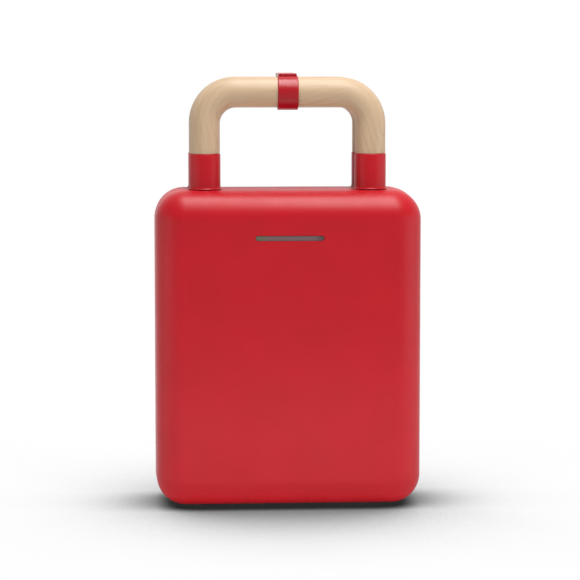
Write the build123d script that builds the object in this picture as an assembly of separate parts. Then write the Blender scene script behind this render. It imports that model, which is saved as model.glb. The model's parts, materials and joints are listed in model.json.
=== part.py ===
from build123d import *
import math
import os

# Sandwich and waffle maker, standing on its hinge end as it is stored. Millimetres.
# X runs across the machine, +Z up towards the handles, and Y through its thickness.
# The two halves meet at y = 0: the lid is on the -Y side and the base on the +Y side.
# Every half is first built as the base, at y > 0, and the lid's pieces are its mirror image.

# Housings
body_width = 222.0
body_height = 264.0
half_depth = 50.0
corner_radius = 25.0
roll_radius = 24.0
wall = 2.5
rim_round = 0.8
parting_gap = 0.3
fit = 0.2

# Feet
end_foot_height = 2.0
end_foot_length = 36.0
end_foot_border = 1.0
end_foot_inset = 49.0
foot_stem_radius = 2.0
rear_foot_height = 3.0
rear_foot_radius = 7.0
rear_foot_inset = 39.0
rear_foot_rise = 43.0
rear_foot_drop = 46.0
rear_stem_radius = 2.9
rear_bulb_radius = 3.5
rear_bulb_length = 1.8

# Hinge
hinge_height = 10.0
trough_radius = 14.0
skirt = 2.0
trough_border = 7.0
knuckle_radius = 7.5
knuckle_length = 10.0
lid_knuckle_length = 15.0
knuckle_gap = 0.4
hinge_inset = 41.0
pin_radius = 2.0
press_clearance = 0.02
running_clearance = 0.05
blind_end = 2.0
arm_drop = 5.0
arm_bite = 0.5
barrel_length = 14.0

# Bezels
bezel_recess = 0.5
web = 2.6
bezel_rim = 2.0
bezel_rim_depth = 9.0
ledge_thickness = 2.2
ledge_lap = 5.0
ledge_border = 6.0

# Waffle plates
plate_border = 13.0
plate_rise = 42.0
plate_drop = 62.0
plate_corner = 12.0
plate_face = 0.5
flange = 2.5
tub_inset = 8.0
well_side_border = 12.0
well_end_border = 14.0
well_gap = 8.0
well_corner = 7.0
well_depth = 12.0
plate_floor = 3.5
well_draft = 8.0
stud_height = 7.0
stud_size = 9.5
stud_draft = 14.0
stud_columns = 4
stud_rows = 7
tab_thickness = 1.2
tab_reach = 3.0
tab_width = 24.0
hook_width = 12.0
hook_inset = 48.0

# Heating elements and reflectors
element_radius = 3.3
element_bend = 14.0
element_gap = 0.2
element_inset = 26.0
element_margin = 22.0
element_end_x = 12.0
element_end_drop = 8.0
reflector_gap = 2.0
reflector_sheet = 0.8
reflector_back_gap = 4.0
clip_size = 8.0
clip_inset = 8.0

# Plate release slides
slide_travel = 4.0
slide_half_width = 20.0
slide_rise = 10.0
slide_length = 24.0
slide_thickness = 2.4
slide_play = 0.2
pad_half_width = 12.0
pad_rise = 4.0
pad_height = 10.0
nose_half_width = 8.0
nose_thickness = 0.8
nose_lap = 2.2
rail = 2.0
rail_lip = 1.8
groove_count = 4
spring_radius = 1.8
spring_wire = 0.35
spring_turns = 7
spring_length = 12.0
spring_seat = 4.0

# Fastenings
screw_inset = 16.0
screw_rise = 30.0
screw_drop = 24.0
screw_radius = 1.5
screw_thread_radius = 1.45
screw_length = 18.0
screw_head_radius = 3.0
screw_head = 2.0
boss_radius = 5.5
post_radius = 4.5

# Handles
handle_radius = 12.6
handle_inset = 42.0
handle_rise = 80.0
handle_bend = 26.0
handle_offset = 14.5
socket_radius = 13.1
socket_length = 29.3
socket_floor = 5.5
socket_flare = 0.6
tenon_radius = 9.5
tenon_clearance = 0.1
handle_screw_radius = 2.0
handle_screw_reach = 54.0
handle_screw_head_radius = 4.0
handle_screw_head = 3.0

# Latch clip
latch_width = 17.2
latch_ring_radius = 14.1
latch_ring_drop = 0.6
latch_play = 0.3
latch_rise = 15.7
latch_arm_width = 15.2
latch_arm_front = 2.0
latch_arm_past = 13.0
latch_round = 0.9
latch_mouth_reach = 9.0
latch_mouth_low = 12.0
latch_mouth_high = 2.0
catch_gap = 0.35

# Indicator
window_length = 56.5
window_height = 4.2
window_drop = 39.0
window_recess = 0.3
window_lip = 2.0
board_width = 84.0
board_height = 12.0
board_thickness = 1.6
board_gap = 4.0
board_post_x = 36.0
board_post_radius = 3.0
lamp_x = 24.0
lamp_radius = 1.9

# Electrical pieces
block_half_width = 18.0
block_depth = 9.0
block_height = 12.0
block_rise = 10.0
block_post_length = 12.0
block_post_x = 10.0
lead_radius = 2.0
lead_bend = 6.0
lead_x = 7.5
lead_clearance = 0.4
wire_radius = 1.2
wire_bend = 3.0
thermostat_radius = 8.0
thermostat_thickness = 8.0
blade_x = 4.0
blade_length = 8.0
fuse_radius = 2.6
fuse_length = 24.0
gland_x = 45.0
gland_bore = 3.75
gland_neck = 5.2
gland_flange_radius = 7.5
gland_flange = 2.0
gland_spot_radius = 9.0
gland_spot_depth = 1.6
gland_lip_radius = 6.5
gland_lip = 4.0
gland_boss = 1.5

# Worked out from the sizes above
shell_low = end_foot_height
shell_high = shell_low + body_height
shell_mid = (shell_low + shell_high) / 2
trough_half_width = body_width / 2 - trough_border
hinge_x = body_width / 2 - hinge_inset
plate_width = body_width - 2 * plate_border
plate_low = shell_low + plate_rise
plate_high = shell_high - plate_drop
plate_height = plate_high - plate_low
roll_start = half_depth - roll_radius
inner_back = half_depth - wall
bezel_face = parting_gap + bezel_recess
web_back = bezel_face + web
plate_mid = (plate_low + plate_high) / 2
well_width = (plate_width - well_gap) / 2 - well_side_border
well_height = plate_height - 2 * well_end_border
hook_x = plate_width / 2 - hook_inset
seat = plate_face + flange
ledge_back = web_back + ledge_thickness
well_bottom = plate_face + well_depth
tub_back = well_bottom + plate_floor
element_depth = tub_back + element_gap + element_radius
element_half_width = plate_width / 2 - element_inset
element_end_z = plate_low - element_end_drop
reflector_front = ledge_back
reflector_inside = element_depth + element_radius + reflector_back_gap
reflector_back = reflector_inside + reflector_sheet
reflector_screw_x = plate_width / 2
skirt_radius = trough_radius + skirt
trough_edge = math.sqrt((skirt_radius + fit) ** 2 - (hinge_height - shell_low) ** 2)
end_foot_x = body_width / 2 - end_foot_inset
end_foot_y = (trough_edge + roll_start) / 2
end_foot_depth = roll_start - trough_edge - 2 * end_foot_border
end_foot_round = 0.3 * end_foot_depth
rear_foot_x = body_width / 2 - rear_foot_inset
rear_foot_low = shell_low + rear_foot_rise
rear_foot_high = shell_high - rear_foot_drop
screw_x = body_width / 2 - screw_inset
screw_low = shell_low + screw_rise
screw_high = shell_high - screw_drop
boss_back = web_back + wall
tab_front = seat - tab_thickness
slide_low = plate_high + slide_rise
slide_high = slide_low + slide_length
pad_low = slide_low + pad_rise
pad_high = pad_low + pad_height
slide_front = web_back + slide_play
slide_back = slide_front + slide_thickness
nose_back = tab_front - 0.1
nose_front = nose_back - nose_thickness
nose_low = plate_high + tab_reach - nose_lap
stop_low = slide_high + spring_length
handle_span = body_width - 2 * handle_inset
handle_bar_z = shell_high + handle_rise
socket_top = shell_high + socket_length
latch_top = handle_bar_z + latch_rise
latch_arm_reach = handle_offset + latch_arm_past
window_z = shell_high - window_drop
block_back = half_depth - block_post_length
block_front = block_back - block_depth
block_low = hinge_height + block_rise
block_high = block_low + block_height
thermostat_z = plate_mid
blade_end = thermostat_z - thermostat_radius - blade_length
fuse_low = (block_high + blade_end - fuse_length) / 2
model_shift = -rear_foot_height / 2


def slab(sketch, front, back):
    """Extrude a sketch drawn in X and Z from one depth to another."""
    return Pos(0, front, 0) * extrude(Plane.XZ * sketch, amount=back - front, dir=(0, 1, 0))


def box(x_range, y_range, z_range):
    """Block between two values on each axis."""
    size = [high - low for low, high in (x_range, y_range, z_range)]
    centre = [(high + low) / 2 for low, high in (x_range, y_range, z_range)]
    return Pos(*centre) * Box(*size)


def rod_x(radius, low, high, y, z):
    """Cylinder along X."""
    return Pos((low + high) / 2, y, z) * Rot(0, 90, 0) * Cylinder(radius, high - low)


def rod_y(radius, low, high, x, z):
    """Cylinder along Y."""
    return Pos(x, (low + high) / 2, z) * Rot(90, 0, 0) * Cylinder(radius, high - low)


def rod_z(radius, low, high, x, y):
    """Cylinder along Z."""
    return Pos(x, y, (low + high) / 2) * Cylinder(radius, high - low)


def bent_rod(points, bend, radius):
    """Round rod along straight runs joined by arcs."""
    path = FilletPolyline(*points, radius=bend)
    return sweep(Plane(path @ 0, z_dir=path % 0) * Circle(radius), path=path)


def both_sides(piece):
    """The piece and its mirror image in X."""
    return [piece, mirror(piece, Plane.YZ)]


# Housings


def housing_block(inset):
    """Rounded block of one half, drawn in by an inset on every side but the parting face."""
    outline = Pos(0, shell_mid) * RectangleRounded(
        body_width - 2 * inset, body_height - 2 * inset, corner_radius - inset
    )
    block = slab(outline, parting_gap, half_depth - inset)
    back_edges = block.faces().sort_by(Axis.Y)[-1].edges()
    return fillet(back_edges, roll_radius - inset)


def screw_places():
    """X and Z of the four screws that hold a bezel to its housing."""
    return [(x, z) for x in (-screw_x, screw_x) for z in (screw_low, screw_high)]


def block_post_places():
    """X and Z of the two posts that carry a terminal block."""
    return [(x, (block_low + block_high) / 2) for x in (-block_post_x, block_post_x)]


def end_foot_places():
    """X and Y of the stems of one half's two end feet."""
    spread = end_foot_length / 4
    return [(side * (end_foot_x + step), end_foot_y) for side in (-1, 1) for step in (-spread, spread)]


def plain_housing(supports):
    """Moulded shell of one half, with supports standing inside on its wall."""
    outer = housing_block(0)
    outer = fillet(outer.faces().sort_by(Axis.Y)[0].edges(), rim_round)
    cavity = housing_block(wall)
    for x, z in screw_places():
        cavity -= rod_y(post_radius, boss_back, half_depth, x, z)
    cavity -= supports
    shell = outer - cavity
    shell -= rod_x(skirt_radius + fit, -trough_half_width, trough_half_width, 0, hinge_height)
    for x, z in screw_places():
        shell -= rod_y(screw_thread_radius, boss_back, web_back + screw_length, x, z)
    for x, y in end_foot_places():
        shell -= rod_z(foot_stem_radius + tenon_clearance, shell_low - 1, shell_low + wall + 1, x, y)
    hole_radius = handle_screw_radius + fit
    for x in (-handle_span / 2, handle_span / 2):
        shell -= rod_z(hole_radius, shell_high - wall - 1, shell_high + 1, x, handle_offset)
    return shell


def block_posts():
    """Posts under a terminal block."""
    return [rod_y(board_post_radius, block_back, half_depth, x, z) for x, z in block_post_places()]


def rear_foot_places():
    """X and Z of the four rear feet."""
    return [(x, z) for x in (-rear_foot_x, rear_foot_x) for z in (rear_foot_low, rear_foot_high)]


def gland_frame():
    """Place of the cord gland: on the rolled edge of the hinge end, halfway round, pointing out."""
    reach = roll_radius / math.sqrt(2)
    origin = (gland_x, roll_start + reach, shell_low + roll_radius - reach)
    return Plane(origin=origin, x_dir=(1, 0, 0), z_dir=(0, 1, -1))


def base_housing():
    """Shell of the base, with the holes of the gland and of the rear feet."""
    boss = Cylinder(gland_spot_radius + gland_boss, 2 * (gland_spot_depth + wall))
    shell = plain_housing(block_posts() + [gland_frame() * boss])
    for x, z in rear_foot_places():
        shell -= rod_y(rear_stem_radius + tenon_clearance, inner_back - 1, half_depth + 1, x, z)
    through = Cylinder(gland_neck + tenon_clearance, 8 * wall)
    spot = Pos(0, 0, gland_spot_depth) * Cylinder(gland_spot_radius, 4 * gland_spot_depth)
    return shell - gland_frame() * through - gland_frame() * spot


def window_outline(margin):
    """Round-ended slot of the indicator window, widened by a margin."""
    height = window_height + 2 * margin
    return Pos(0, window_z) * SlotOverall(window_length + 2 * margin, height)


def lid_housing():
    """Shell of the lid, with the slot of the indicator window and the posts of its board."""
    posts = block_posts()
    for side in (-1, 1):
        posts.append(rod_y(board_post_radius, board_back(), half_depth, side * board_post_x, window_z))
    shell = plain_housing(posts)
    return shell - slab(window_outline(tenon_clearance), inner_back - 1, half_depth + 1)


# Bezels


def hinge_arm(low, high):
    """Knuckle on the hinge axis with the arm that joins it to the skirt."""
    knuckle = rod_x(knuckle_radius, low, high, 0, hinge_height)
    height = (hinge_height - arm_drop, hinge_height + knuckle_radius)
    return knuckle + box((low, high), (0, trough_radius + arm_bite), height)


def lead_path():
    """Route of a lead from the hinge axis, through the barrel's arm, up to the terminal block."""
    lead_y = (block_front + block_back) / 2
    return [
        (0, 0, hinge_height),
        (lead_x, 0, hinge_height),
        (lead_x, lead_y, hinge_height),
        (lead_x, lead_y, block_low),
    ]


def plain_bezel():
    """Frame that closes a housing: web, rim, ledge of the plate, and skirt round the hinge."""
    width = body_width - 2 * wall - 2 * fit
    height = body_height - 2 * wall - 2 * fit
    corner = corner_radius - wall - fit
    outline = Pos(0, shell_mid) * RectangleRounded(width, height, corner)
    inside = Pos(0, shell_mid) * RectangleRounded(
        width - 2 * bezel_rim, height - 2 * bezel_rim, corner - bezel_rim
    )
    frame = slab(outline, bezel_face, web_back)
    frame += slab(outline - inside, web_back, bezel_rim_depth)
    ledge = Pos(0, plate_mid) * RectangleRounded(
        plate_width + 2 * ledge_border, plate_height + 2 * ledge_border, plate_corner
    )
    frame += slab(ledge, web_back, ledge_back)
    for x, z in screw_places():
        frame += rod_y(boss_radius, web_back, boss_back, x, z)
    skirt_end = trough_half_width - fit
    frame += rod_x(skirt_radius, -skirt_end, skirt_end, 0, hinge_height)
    frame &= housing_block(wall + fit)
    frame &= box((-body_width, body_width), (bezel_face, half_depth), (shell_low + fit, shell_high))
    inner_end = skirt_end - skirt
    frame -= rod_x(trough_radius, -inner_end, inner_end, 0, hinge_height)
    pocket = Pos(0, plate_mid) * RectangleRounded(
        plate_width + 2 * fit, plate_height + 2 * fit, plate_corner + fit
    )
    through = Pos(0, plate_mid) * RectangleRounded(
        plate_width - 2 * ledge_lap, plate_height - 2 * ledge_lap, plate_corner - ledge_lap
    )
    frame -= slab(pocket, 0, seat)
    frame -= slab(through, 0, half_depth)
    for x, z in screw_places():
        frame -= rod_y(screw_head_radius + fit, 0, web_back, x, z)
        frame -= rod_y(screw_radius + fit, 0, boss_back + 1, x, z)
    for x, z in reflector_screw_places():
        frame -= rod_y(screw_thread_radius, ledge_back - ledge_thickness / 2, ledge_back, x, z)
    return frame


def slide_guide(frame):
    """Add the release slide's rails and spring stop, and cut its slot, groove and tab pockets."""
    outer = slide_half_width + slide_play + rail
    rail_back = slide_back + slide_play
    for side in (-1, 1):
        inner_x = side * (slide_half_width + slide_play)
        lip_x = side * (slide_half_width + slide_play - rail_lip)
        run = (slide_low, slide_high + slide_travel)
        frame += box(sorted((inner_x, side * outer)), (web_back, rail_back + rail), run)
        frame += box(sorted((lip_x, side * outer)), (rail_back, rail_back + rail), run)
    stop_back = slide_back + 2 * spring_radius
    frame += box((-spring_seat, spring_seat), (web_back, stop_back), (stop_low, stop_low + rail))
    play = slide_play + 0.1
    slot_x = pad_half_width + play
    frame -= box((-slot_x, slot_x), (0, web_back), (pad_low - play, pad_high + slide_travel + play))
    groove_x = nose_half_width + play
    frame -= box((-groove_x, groove_x), (0, nose_back + slide_play), (plate_high, pad_low))
    tab_x = tab_width / 2 + play
    frame -= box((-tab_x, tab_x), (0, seat + 0.05), (plate_high, plate_high + tab_reach + play))
    for side in (-1, 1):
        hook_low = side * hook_x - hook_width / 2 - play
        hook_high = side * hook_x + hook_width / 2 + play
        pocket_z = (plate_low - tab_reach - play, plate_low)
        frame -= box((hook_low, hook_high), (tab_front - fit, seat + 0.05), pocket_z)
    return frame


def knuckle_spans(inner):
    """X ranges of the knuckles on the +X side: the lid's is between the base's two."""
    half = lid_knuckle_length / 2
    if inner:
        return [(hinge_x - half, hinge_x + half)]
    near = hinge_x - half - knuckle_gap
    far = hinge_x + half + knuckle_gap
    return [(near - knuckle_length, near), (far, far + knuckle_length)]


def pin_range():
    """X range of the hinge pin on the +X side, from the inner knuckle to the blind end."""
    (low, _), (_, high) = knuckle_spans(inner=False)
    return low, high - blind_end


def bezel_with_hinge(inner, barrel_side):
    """Bezel with its knuckles and with its half of the barrel that the lead passes."""
    frame = slide_guide(plain_bezel())
    clearance = running_clearance if inner else press_clearance
    for low, high in knuckle_spans(inner):
        for arm in both_sides(hinge_arm(low, high)):
            frame += arm
    pin_low, pin_high = pin_range()
    for bore in both_sides(rod_x(pin_radius + clearance, pin_low, pin_high, 0, hinge_height)):
        frame -= bore
    barrel = hinge_arm(knuckle_gap / 2, barrel_length)
    bore = bent_rod(lead_path(), lead_bend, lead_radius + lead_clearance)
    if barrel_side < 0:
        barrel = mirror(barrel, Plane.YZ)
        bore = mirror(bore, Plane.YZ)
    return frame + barrel - bore


# Plates, elements and reflectors


def stud_places():
    """X and Z of the studs of the well on the +X side."""
    pitch_x = well_width / stud_columns
    pitch_z = well_height / stud_rows
    first_x = well_gap / 2 + pitch_x / 2
    first_z = plate_mid - well_height / 2 + pitch_z / 2
    return [
        (first_x + column * pitch_x, first_z + row * pitch_z)
        for column in range(stud_columns)
        for row in range(stud_rows)
    ]


def waffle_well():
    """Pocket of one cooking well on the +X side, with its studs left standing."""
    centre_x = (well_gap + well_width) / 2
    mouth = Pos(centre_x, plate_mid) * RectangleRounded(well_width, well_height, well_corner)
    mouth_face = Plane.XZ * mouth
    pocket = Pos(0, plate_face, 0) * extrude(mouth_face, amount=well_depth, dir=(0, 1, 0), taper=well_draft)
    stud = Plane.XZ * Rectangle(stud_size, stud_size)
    stud = Pos(0, well_bottom, 0) * extrude(stud, amount=stud_height, taper=stud_draft)
    for x, z in stud_places():
        pocket -= Pos(x, 0, z) * stud
    return pocket


def waffle_plate():
    """Cast plate: flange, tub with two wells, a tab for the slide and two hooks for the bezel."""
    outline = Pos(0, plate_mid) * RectangleRounded(plate_width, plate_height, plate_corner)
    tub = Pos(0, plate_mid) * RectangleRounded(
        plate_width - 2 * tub_inset, plate_height - 2 * tub_inset, plate_corner - tub_inset / 2
    )
    plate = slab(outline, plate_face, seat) + slab(tub, seat, tub_back)
    tab_height = (plate_high - 1, plate_high + tab_reach)
    plate += box((-tab_width / 2, tab_width / 2), (tab_front, seat), tab_height)
    for side in (-1, 1):
        span = (side * hook_x - hook_width / 2, side * hook_x + hook_width / 2)
        plate += box(span, (tab_front, seat), (plate_low - tab_reach, plate_low + 1))
    for well in both_sides(waffle_well()):
        plate -= well
    return plate


def element_path():
    """Route of a heating element: down one leg, round the plate and up the other leg."""
    low = plate_low + element_margin
    high = plate_high - element_margin
    half = element_half_width
    end = element_end_x
    flat = [(-end, element_end_z), (-end, low), (-half, low), (-half, high)]
    flat += [(-x, z) for x, z in reversed(flat)]
    return [(x, element_depth, z) for x, z in flat]


def element():
    """Tubular heating element."""
    return bent_rod(element_path(), element_bend, element_radius)


def element_clips():
    """Saddles on the reflector that the element lies in."""
    clips = []
    from_edge = element_margin + element_bend + clip_inset
    for x in (-element_half_width, element_half_width):
        for z in (plate_low + from_edge, plate_high - from_edge):
            half = clip_size / 2
            clip = box((x - half, x + half), (element_depth, reflector_inside), (z - half, z + half))
            groove = rod_z(element_radius + press_clearance, z - clip_size, z + clip_size, x, element_depth)
            clips.append(clip - groove)
    return clips


def reflector_screw_places():
    """X and Z of the screws at the reflector's corners."""
    inset = plate_height / 4
    return [
        (side * reflector_screw_x, z)
        for side in (-1, 1)
        for z in (plate_low + inset, plate_high - inset)
    ]


def reflector():
    """Sheet tray behind the element, its flange on the back of the bezel's ledge."""
    width = plate_width - 2 * tub_inset + 2 * reflector_gap
    height = plate_height - 2 * tub_inset + 2 * reflector_gap
    corner = plate_corner - tub_inset / 2 + reflector_gap
    sheet = 2 * reflector_sheet
    flange_face = Pos(0, plate_mid) * RectangleRounded(
        plate_width + 2 * ledge_border, plate_height + 2 * ledge_border, plate_corner
    )
    outside = Pos(0, plate_mid) * RectangleRounded(width + sheet, height + sheet, corner + reflector_sheet)
    inside = Pos(0, plate_mid) * RectangleRounded(width, height, corner)
    tray = slab(flange_face, reflector_front, reflector_front + reflector_sheet)
    tray += slab(outside, reflector_front, reflector_back)
    tray -= slab(inside, reflector_front, reflector_inside)
    hole_radius = element_radius + reflector_sheet
    for x in (-element_end_x, element_end_x):
        tray -= rod_z(hole_radius, element_end_z, plate_low + tub_inset, x, element_depth)
    for x, z in reflector_screw_places():
        tray -= rod_y(screw_radius + fit / 2, reflector_front - 1, reflector_front + 2, x, z)
    return tray


def reflector_screws():
    """Short screws through the reflector's flange into the ledge."""
    screws = []
    top = reflector_front + reflector_sheet
    for x, z in reflector_screw_places():
        shank = rod_y(screw_thread_radius, ledge_back - ledge_thickness / 2, top, x, z)
        screws.append(shank + rod_y(screw_head_radius, top, top + screw_head, x, z))
    return screws


# Plate release


def release_slide():
    """Slide with its ribbed thumb pad, the nose over the plate's tab and the seat of its spring."""
    slide = box((-slide_half_width, slide_half_width), (slide_front, slide_back), (slide_low, slide_high))
    slide += box((-pad_half_width, pad_half_width), (bezel_face, slide_front), (pad_low, pad_high))
    slide += box((-nose_half_width, nose_half_width), (nose_front, nose_back), (nose_low, pad_low + 1))
    seat_range = (slide_front, slide_back + 2 * spring_radius)
    slide += box((-spring_seat, spring_seat), seat_range, (slide_high - spring_seat, slide_high))
    pitch = (pad_high - pad_low) / (groove_count + 1)
    for step in range(groove_count):
        z = pad_low + (step + 1) * pitch
        slide -= rod_x(pitch / 4, -pad_half_width + pitch, pad_half_width - pitch, bezel_face, z)
    return slide


def release_spring():
    """Return spring between the slide's seat and the bezel's stop."""
    play = spring_wire
    coil = Helix(
        pitch=(spring_length - 2 * play) / spring_turns,
        height=spring_length - 2 * play,
        radius=spring_radius,
    )
    wire = sweep(Plane(coil @ 0, z_dir=coil % 0) * Circle(spring_wire), path=coil)
    return Pos(0, slide_back + spring_radius, slide_high + play) * wire


# Fastenings and feet


def housing_screws():
    """Screws through the bezel into the housing's posts."""
    screws = []
    for x, z in screw_places():
        head = rod_y(screw_head_radius, web_back - screw_head, web_back, x, z)
        shank = rod_y(screw_thread_radius, web_back - screw_head, web_back + screw_length, x, z)
        screws.append(head + shank)
    return screws


def end_feet():
    """Rubber pads that one half stands on at the hinge end, their stems in the shell."""
    feet = []
    for side in (-1, 1):
        outline = RectangleRounded(end_foot_length, end_foot_depth, end_foot_round)
        foot = Pos(side * end_foot_x, end_foot_y, 0) * extrude(outline, amount=end_foot_height)
        for x, y in end_foot_places():
            if x * side > 0:
                foot += rod_z(foot_stem_radius, end_foot_height - 1, shell_low + wall, x, y)
        feet.append(foot)
    return feet


def rear_feet():
    """Round rubber feet that the machine lies on in use, plugged into the base."""
    feet = []
    for x, z in rear_foot_places():
        foot = rod_y(rear_foot_radius, half_depth, half_depth + rear_foot_height, x, z)
        foot = fillet(foot.faces().sort_by(Axis.Y)[-1].edges(), rear_foot_height / 3)
        foot += rod_y(rear_stem_radius, inner_back - rear_bulb_length, half_depth, x, z)
        foot += rod_y(rear_bulb_radius, inner_back - rear_bulb_length, inner_back, x, z)
        feet.append(foot)
    return feet


def hinge_pins():
    """Steel pins of the two hinges."""
    low, high = pin_range()
    return both_sides(rod_x(pin_radius, low, high, 0, hinge_height))


# Handles


def handle():
    """Bent wooden handle with a tenon on each leg, drilled for its screws."""
    half = handle_span / 2
    points = [
        (-half, handle_offset, socket_top),
        (-half, handle_offset, handle_bar_z),
        (half, handle_offset, handle_bar_z),
        (half, handle_offset, socket_top),
    ]
    wood = bent_rod(points, handle_bend, handle_radius)
    tenon_low = shell_high + socket_floor + tenon_clearance
    hole_top = shell_high + handle_screw_reach + 1
    for x in (-half, half):
        wood += rod_z(tenon_radius, tenon_low, socket_top + 1, x, handle_offset)
        wood -= rod_z(handle_screw_radius + running_clearance, tenon_low - 1, hole_top, x, handle_offset)
    return wood


def handle_socket(side):
    """Moulded socket on the end wall that a wooden leg stands in."""
    x = side * handle_span / 2
    socket = rod_z(socket_radius, shell_high, socket_top - tenon_clearance, x, handle_offset)
    socket = fillet(socket.faces().sort_by(Axis.Z)[-1].edges(), rim_round)
    flare = Cone(socket_radius + socket_flare, socket_radius, socket_flare)
    socket += Pos(x, handle_offset, shell_high + socket_flare / 2) * flare
    floor = shell_high + socket_floor
    socket -= rod_z(tenon_radius + tenon_clearance, floor, socket_top + 1, x, handle_offset)
    return socket - rod_z(handle_screw_radius + fit, shell_high - 1, floor + 1, x, handle_offset)


def handle_screws():
    """Long screws from inside the housing, through the sockets into the wood."""
    screws = []
    seat_z = shell_high - wall
    for side in (-1, 1):
        x = side * handle_span / 2
        head = rod_z(handle_screw_head_radius, seat_z - handle_screw_head, seat_z, x, handle_offset)
        shank = rod_z(handle_screw_radius, seat_z - 1, shell_high + handle_screw_reach, x, handle_offset)
        screws.append(head + shank)
    return screws


def latch_clip():
    """Clip that turns on the lid's handle bar and reaches over the base's bar."""
    lid_y = -handle_offset
    half = latch_width / 2
    ring_z = handle_bar_z - latch_ring_drop
    ring = rod_x(latch_ring_radius, -half, half, lid_y, ring_z)
    ring = fillet(ring.edges().filter_by(GeomType.CIRCLE), latch_round)
    arm_half = latch_arm_width / 2
    arm_range = (lid_y - latch_arm_front, latch_arm_reach)
    arm = box((-arm_half, arm_half), arm_range, (handle_bar_z + handle_radius / 2, latch_top))
    arm = fillet(arm.faces().sort_by(Axis.Z)[-1].edges(), latch_round)
    catch_reach = math.hypot(handle_offset, handle_bar_z - hinge_height) + handle_radius + catch_gap
    swing = rod_x(catch_reach, -latch_width, latch_width, 0, hinge_height)
    swing &= box((-latch_width, latch_width), (parting_gap, 2 * latch_arm_reach), (0, 2 * handle_bar_z))
    clip = ring + arm - swing
    clip -= rod_x(handle_radius + latch_play, -latch_width, latch_width, lid_y, handle_bar_z)
    mouth = (ring_z - latch_mouth_low, ring_z - latch_mouth_high)
    return clip - box((-latch_width, latch_width), (lid_y + latch_mouth_reach, handle_offset), mouth)


# Indicator of the lid


def board_back():
    """Depth of the board's back, on its posts."""
    return inner_back - board_gap


def indicator_window():
    """Smoked window with a lip behind the housing's wall."""
    window = slab(window_outline(0), inner_back - window_lip, half_depth - window_recess)
    return window + slab(window_outline(window_lip), inner_back - window_lip, inner_back)


def indicator_board():
    """Circuit board on its two posts."""
    front = board_back() - board_thickness
    outline = Pos(0, window_z) * Rectangle(board_width, board_height)
    board = slab(outline, front, board_back())
    for side in (-1, 1):
        board -= rod_y(screw_radius + fit / 2, front - 1, board_back() + 1, side * board_post_x, window_z)
    return board


def indicator_screws():
    """Small screws that hold the board to its posts."""
    front = board_back() - board_thickness
    screws = []
    for side in (-1, 1):
        x = side * board_post_x
        shank = rod_y(screw_radius, front - 1, board_back(), x, window_z)
        screws.append(shank + rod_y(screw_head_radius, front - screw_head, front, x, window_z))
    return screws


def lamp(side):
    """Lamp between the board and the window."""
    return rod_y(lamp_radius, board_back(), inner_back - window_lip, side * lamp_x, window_z)


# Electrical pieces


def terminal_block():
    """Moulded terminal block with a channel for each screw."""
    span = (-block_half_width, block_half_width)
    block = box(span, (block_front, block_back), (block_low, block_high))
    for x in (-element_end_x, 0, element_end_x):
        block -= rod_y(screw_radius, block_back - wall, block_back, x, block_high - wall)
    return block


def hinge_lead():
    """Lead from the hinge axis to the terminal block, on the +X side."""
    return bent_rod(lead_path(), lead_bend, lead_radius)


def element_wires():
    """Wires from the element's ends to the front of the terminal block."""
    middle = (block_low + block_high) / 2
    wires = []
    for x in (-element_end_x, element_end_x):
        points = [(x, element_depth, element_end_z), (x, element_depth, middle), (x, block_front, middle)]
        wires.append(bent_rod(points, wire_bend, wire_radius))
    return wires


def switch_wire(side, gap_low=None, gap_high=None):
    """Straight wire from a blade of the thermostat down to the block, with a gap for the fuse."""
    y = blade_depth()
    x = side * blade_x
    if gap_low is None:
        return [rod_z(wire_radius, block_high, blade_end, x, y)]
    return [
        rod_z(wire_radius, block_high, gap_low, x, y),
        rod_z(wire_radius, gap_high, blade_end, x, y),
    ]


def blade_depth():
    """Depth of the thermostat's blades."""
    return reflector_back + thermostat_thickness / 2


def disc_switch():
    """Bimetal switch on the back of the reflector, with two blades pointing down."""
    body = rod_y(thermostat_radius, reflector_back, reflector_back + thermostat_thickness, 0, thermostat_z)
    depth = blade_depth()
    for side in (-1, 1):
        x = side * blade_x
        body += box((x - 1.5, x + 1.5), (depth - 0.4, depth + 0.4), (blade_end, thermostat_z))
    return body


def thermal_fuse():
    """Sleeved fuse in the wire on the +X side."""
    return rod_z(fuse_radius, fuse_low, fuse_low + fuse_length, blade_x, blade_depth())


def base_wires():
    """All the short wires of the base."""
    return element_wires() + switch_wire(-1) + switch_wire(1, fuse_low, fuse_low + fuse_length)


def lid_wires():
    """All the short wires of the lid."""
    return element_wires() + switch_wire(-1) + switch_wire(1)


def indicator_leads():
    """Pair of wires from the indicator's board down to the terminal block."""
    y = board_back() - board_thickness / 2
    low = window_z - board_height / 2
    drop = block_high + 3 * wire_bend
    block_y = block_back - wall
    leads = []
    for side in (-1, 1):
        x = side * (element_end_x + 2 * wire_radius)
        points = [(x, y, low), (x, y, drop), (x, block_y, drop), (x, block_y, block_high)]
        leads.append(bent_rod(points, wire_bend, wire_radius))
    return leads


def cord_gland():
    """Rubber bush that the mains cord passes, with a lip on each side of the wall."""
    face = -gland_spot_depth
    neck_end = face - wall
    body = Pos(0, 0, (face + neck_end) / 2) * Cylinder(gland_neck, wall)
    outer_lip = Pos(0, 0, face + gland_flange / 2) * Cylinder(gland_flange_radius, gland_flange)
    body += fillet(outer_lip.faces().sort_by(Axis.Z)[-1].edges(), gland_flange / 3)
    body += Pos(0, 0, neck_end - gland_lip / 2) * Cylinder(gland_lip_radius, gland_lip)
    return gland_frame() * (body - Cylinder(gland_bore, 8 * gland_lip))


# All pieces, each in its own file


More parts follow.
